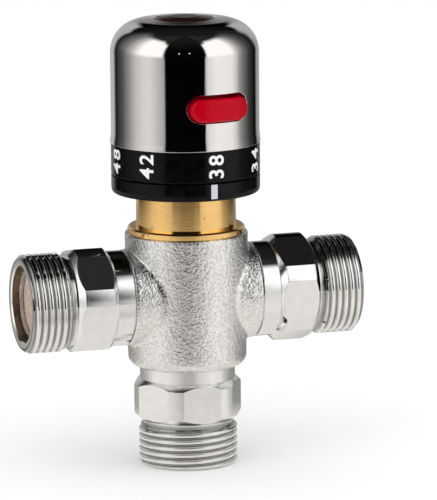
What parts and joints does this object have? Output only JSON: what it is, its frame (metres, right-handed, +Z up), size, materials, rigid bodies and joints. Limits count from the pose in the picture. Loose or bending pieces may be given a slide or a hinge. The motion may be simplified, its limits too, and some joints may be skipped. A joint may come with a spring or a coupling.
{
  "type": "thermostatic mixing valve",
  "caption": "Three-way thermostatic mixing valve: chromed cast tee with equal male pipe ends, brass neck and a graduated knob with a red safety button.",
  "frame": {"origin": "centre of the outlet's end face, at the mouth of its bore", "axes": "+Z up along the knob's axis, -X the hot inlet, +X the cold inlet"},
  "size_m": [0.092, 0.0412, 0.1209],
  "materials": {
    "cast_chrome": "sand-cast surface under chrome plate, pearly",
    "bright_chrome": "turned and bright chrome plated",
    "knob_chrome": "dark mirror chrome",
    "bare_brass": "turned, satin",
    "wax_copper": "copper capsule, satin",
    "spring_steel": "stainless, drawn",
    "strainer_weave": "fine woven wire, dull",
    "gloss_black": "moulded, glossy",
    "button_red": "moulded, satin gloss",
    "inner_plastic": "moulded, matt",
    "seal_rubber": "moulded rubber"
  },
  "bodies": {
    "valve_body": {"body_casting": "cast_chrome", "hot_union": "bright_chrome", "cold_union": "bright_chrome", "hot_union_seal": "seal_rubber", "cold_union_seal": "seal_rubber", "hot_strainer_ring": "spring_steel", "cold_strainer_ring": "spring_steel", "hot_strainer_mesh": "strainer_weave", "cold_strainer_mesh": "strainer_weave", "hot_check_cage": "inner_plastic", "cold_check_cage": "inner_plastic", "hot_check_spring": "spring_steel", "cold_check_spring": "spring_steel", "cartridge_sleeve": "inner_plastic", "sleeve_seals": "seal_rubber", "cold_seat": "bare_brass", "return_spring": "spring_steel", "bonnet": "bare_brass", "bonnet_seal": "seal_rubber", "index_ring": "gloss_black", "index_ring_clip": "spring_steel"},
    "knob": {"spindle": "bare_brass", "spindle_seals": "seal_rubber", "spindle_clip": "spring_steel", "knob_hub": "inner_plastic", "knob_screw": "spring_steel", "knob_shell": "knob_chrome", "scale_ring": "gloss_black", "knob_cap": "gloss_black", "button_spring": "spring_steel"},
    "button": {"safety_button": "button_red"},
    "adjuster": {"adjuster": "bare_brass", "overload_spring": "spring_steel", "overload_plunger": "bare_brass", "plunger_clip": "spring_steel", "element_pin": "spring_steel"},
    "shuttle": {"shuttle": "inner_plastic", "shuttle_seal": "seal_rubber", "wax_element": "wax_copper"},
    "hot_poppet": {"hot_check_poppet": "inner_plastic", "hot_check_seal": "seal_rubber"},
    "cold_poppet": {"cold_check_poppet": "inner_plastic", "cold_check_seal": "seal_rubber"}
  },
  "joints": [
    {"name": "knob_turn", "type": "hinge", "parent": "valve_body", "child": "knob", "pos_m": [0, 0, 0.0876], "axis": [0, 0, 1], "range_deg": [-152, 152]},
    {"name": "adjuster_feed", "type": "slide", "parent": "valve_body", "child": "adjuster", "axis": [0, 0, 1], "range_m": [-0.00127, 0.00127]},
    {"name": "shuttle_slide", "type": "slide", "parent": "valve_body", "child": "shuttle", "axis": [0, 0, 1], "range_m": [-0.0006, 0.0006], "stiffness_N_per_m": 1500, "deforming": ["return_spring"]},
    {"name": "hot_check_open", "type": "slide", "parent": "valve_body", "child": "hot_poppet", "axis": [1, 0, 0], "range_m": [0, 0.0035], "stiffness_N_per_m": 100, "springref_m": -0.003, "deforming": ["hot_check_spring"]},
    {"name": "cold_check_open", "type": "slide", "parent": "valve_body", "child": "cold_poppet", "axis": [-1, 0, 0], "range_m": [0, 0.0035], "stiffness_N_per_m": 100, "springref_m": -0.003, "deforming": ["cold_check_spring"]},
    {"name": "button_press", "type": "slide", "parent": "knob", "child": "button", "axis": [-0.1564, 0.9877, 0], "range_m": [0, 0.0018], "stiffness_N_per_m": 900, "springref_m": -0.0012, "deforming": ["button_spring"]}
  ],
  "couplings": [
    {"joint": "knob_turn", "follows": "adjuster_feed", "rad_per_m": 2094.4}
  ]
}
